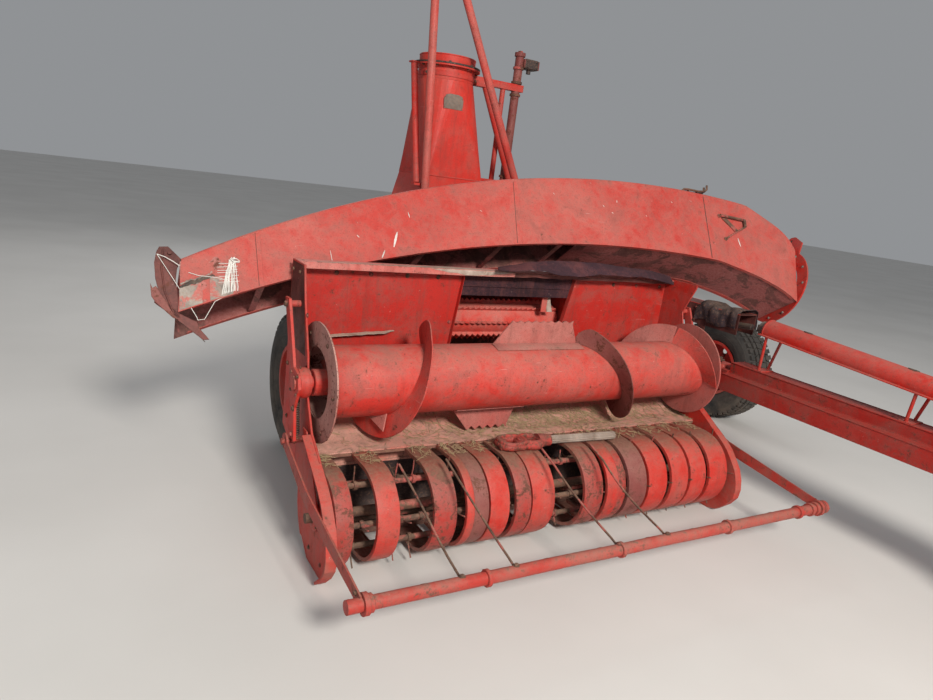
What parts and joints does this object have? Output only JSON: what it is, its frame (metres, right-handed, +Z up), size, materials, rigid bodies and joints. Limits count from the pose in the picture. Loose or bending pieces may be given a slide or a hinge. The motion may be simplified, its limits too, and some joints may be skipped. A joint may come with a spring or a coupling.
{
  "type": "forage harvester",
  "caption": "Weathered trailed forage harvester with a windrow pick-up header lowered, offset drawbar, and its discharge spout taken off and laid across the header.",
  "frame": {"origin": "on the ground under the middle of the machine's bounding box", "axes": "+X to the machine's left-hand side, where the drawbar is, -Y the way it drives, header first, +Z up"},
  "size_m": [4.286, 4.3049, 2.965],
  "materials": {
    "red_paint": "weathered red paint, rust at the edges",
    "faded_paint": "sun-bleached red paint with scratches and rust",
    "rusty_steel": "brown rusted steel",
    "dusty_pan": "worn red paint under dust and chaff",
    "bright_steel": "dull bare steel",
    "dark_iron": "dark greasy iron",
    "tyre_rubber": "dusty weathered rubber"
  },
  "bodies": {
    "chassis": {"axle": "red_paint", "main_frame": "red_paint", "drum_housing": "red_paint", "cutting_drum": "rusty_steel", "discharge_tower": "faded_paint", "tower_collar": "red_paint", "tower_stays": "red_paint", "spout_turning_post": "red_paint", "derrick_frame": "faded_paint", "gearbox": "dark_iron", "input_shaft_shield": "red_paint", "drive_cover": "red_paint", "feed_drive_cover": "red_paint", "cross_shaft_guard": "red_paint", "trailer_hitch": "red_paint"},
    "wheel_left": {"tyre_left": "tyre_rubber", "rim_left": "red_paint"},
    "wheel_right": {"tyre_right": "tyre_rubber", "rim_right": "red_paint"},
    "turntable": {"turntable_ring": "red_paint"},
    "lift_barrel": {"lift_cylinder_barrel": "red_paint"},
    "lift_rod": {"lift_cylinder_rod": "bright_steel"},
    "header": {"header_wall": "red_paint", "header_trough": "dusty_pan", "header_side_left": "red_paint", "header_side_right": "red_paint", "feeder_box": "red_paint", "auger_arms": "red_paint", "stripper_bands": "red_paint", "header_chain_drive": "rusty_steel", "spout_chute": "faded_paint", "spout_base_flange": "red_paint", "loose_yoke": "red_paint"},
    "spout_flap": {"spout_flap": "rusty_steel"},
    "auger": {"auger_body": "red_paint", "auger_flights": "red_paint"},
    "pickup_reel": {"reel_frame": "rusty_steel", "reel_tines": "rusty_steel"},
    "upper_roll": {"upper_feed_roll": "red_paint"},
    "lower_roll": {"lower_feed_roll": "red_paint"},
    "wind_guard": {"wind_guard": "red_paint"},
    "drawbar": {"drawbar_beam": "red_paint", "pto_guard": "red_paint"},
    "pto_shaft": {"pto_shaft": "bright_steel"},
    "parking_jack": {"parking_jack": "red_paint"}
  },
  "joints": [
    {"name": "header_lift", "type": "hinge", "parent": "chassis", "child": "header", "pos_m": [-0.5067, 1.3326, 0.8], "axis": [-1, 0, 0], "range_deg": [0, 12]},
    {"name": "wheel_left_spin", "type": "hinge", "parent": "chassis", "child": "wheel_left", "pos_m": [-1.2817, 1.3126, 0.385], "axis": [1, 0, 0], "continuous": true},
    {"name": "wheel_right_spin", "type": "hinge", "parent": "chassis", "child": "wheel_right", "pos_m": [2.0133, 1.3126, 0.385], "axis": [1, 0, 0], "continuous": true},
    {"name": "turntable_turn", "type": "hinge", "parent": "chassis", "child": "turntable", "pos_m": [-0.4817, 1.6576, 2.16], "axis": [0, 0, 1], "range_deg": [-100, 100]},
    {"name": "lift_barrel_pivot", "type": "hinge", "parent": "chassis", "child": "lift_barrel", "pos_m": [-0.9267, 1.3126, 0.475], "axis": [-1, 0, 0], "range_deg": [0, 12]},
    {"name": "lift_rod_slide", "type": "slide", "parent": "lift_barrel", "child": "lift_rod", "axis": [0, -1, -0.0094], "range_m": [0, 0.07]},
    {"name": "auger_spin", "type": "hinge", "parent": "header", "child": "auger", "pos_m": [-0.5067, 0.3826, 0.7], "axis": [1, 0, 0], "continuous": true},
    {"name": "reel_spin", "type": "hinge", "parent": "header", "child": "pickup_reel", "pos_m": [-0.5067, 0.1626, 0.224], "axis": [1, 0, 0], "continuous": true},
    {"name": "upper_roll_spin", "type": "hinge", "parent": "header", "child": "upper_roll", "pos_m": [-0.4567, 0.8526, 0.86], "axis": [1, 0, 0], "continuous": true},
    {"name": "lower_roll_spin", "type": "hinge", "parent": "header", "child": "lower_roll", "pos_m": [-0.4567, 0.8226, 0.6], "axis": [1, 0, 0], "continuous": true},
    {"name": "wind_guard_lift", "type": "hinge", "parent": "header", "child": "wind_guard", "pos_m": [-0.5067, 0.4026, 0.45], "axis": [-1, 0, 0], "range_deg": [0, 30]},
    {"name": "spout_flap_swing", "type": "hinge", "parent": "header", "child": "spout_flap", "pos_m": [-2.0545, 0.91874, 1.04174], "axis": [0.0751, 0.8256, -0.5592], "range_deg": [-8, 12]},
    {"name": "drawbar_swing", "type": "hinge", "parent": "chassis", "child": "drawbar", "pos_m": [0.9553, 0.5126, 0.615], "axis": [0, 0, 1], "range_deg": [0, 15]},
    {"name": "pto_shaft_spin", "type": "hinge", "parent": "drawbar", "child": "pto_shaft", "pos_m": [0.9933, -1.7774, 0.817], "axis": [0, 0.998, 0.0629], "continuous": true},
    {"name": "jack_fold", "type": "hinge", "parent": "drawbar", "child": "parking_jack", "pos_m": [0.8193, -1.5474, 0.605], "axis": [1, 0, 0], "range_deg": [0, 90]}
  ],
  "couplings": [
    {"joint": "lower_roll_spin", "follows": "upper_roll_spin", "ratio": -1},
    {"joint": "lift_barrel_pivot", "follows": "header_lift", "ratio": 0.9816},
    {"joint": "lift_rod_slide", "follows": "header_lift", "m_per_rad": 0.3249}
  ]
}
